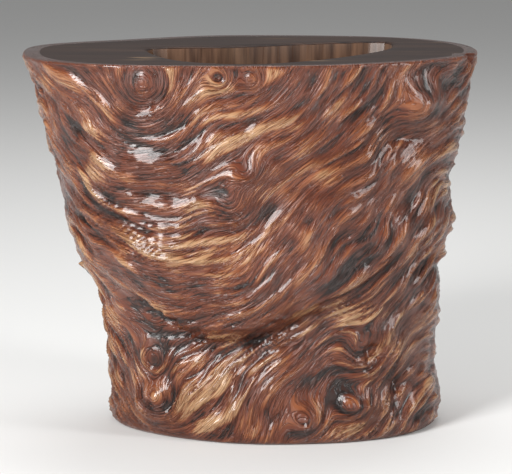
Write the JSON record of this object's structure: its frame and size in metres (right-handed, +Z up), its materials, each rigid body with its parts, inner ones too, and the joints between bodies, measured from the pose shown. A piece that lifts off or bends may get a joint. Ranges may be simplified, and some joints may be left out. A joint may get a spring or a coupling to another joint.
{
  "type": "brush pot",
  "caption": "Flaring oval brush pot hollowed from a block of burl root wood, with a rounded triangular mouth, a shelf across the front and a turned plug in its floor.",
  "frame": {"origin": "middle of the bounding box in plan, at the height of the foot the pot stands on", "axes": "+X along the width, to the right seen from the front; +Y towards the back; +Z up, out of the mouth"},
  "size_m": [0.2406, 0.1846, 0.2],
  "materials": {
    "burl_wood": "polished",
    "plug_wood": "satin"
  },
  "bodies": {
    "root": {"burl_trunk": "burl_wood", "floor_plug": "plug_wood"}
  },
  "joints": []
}
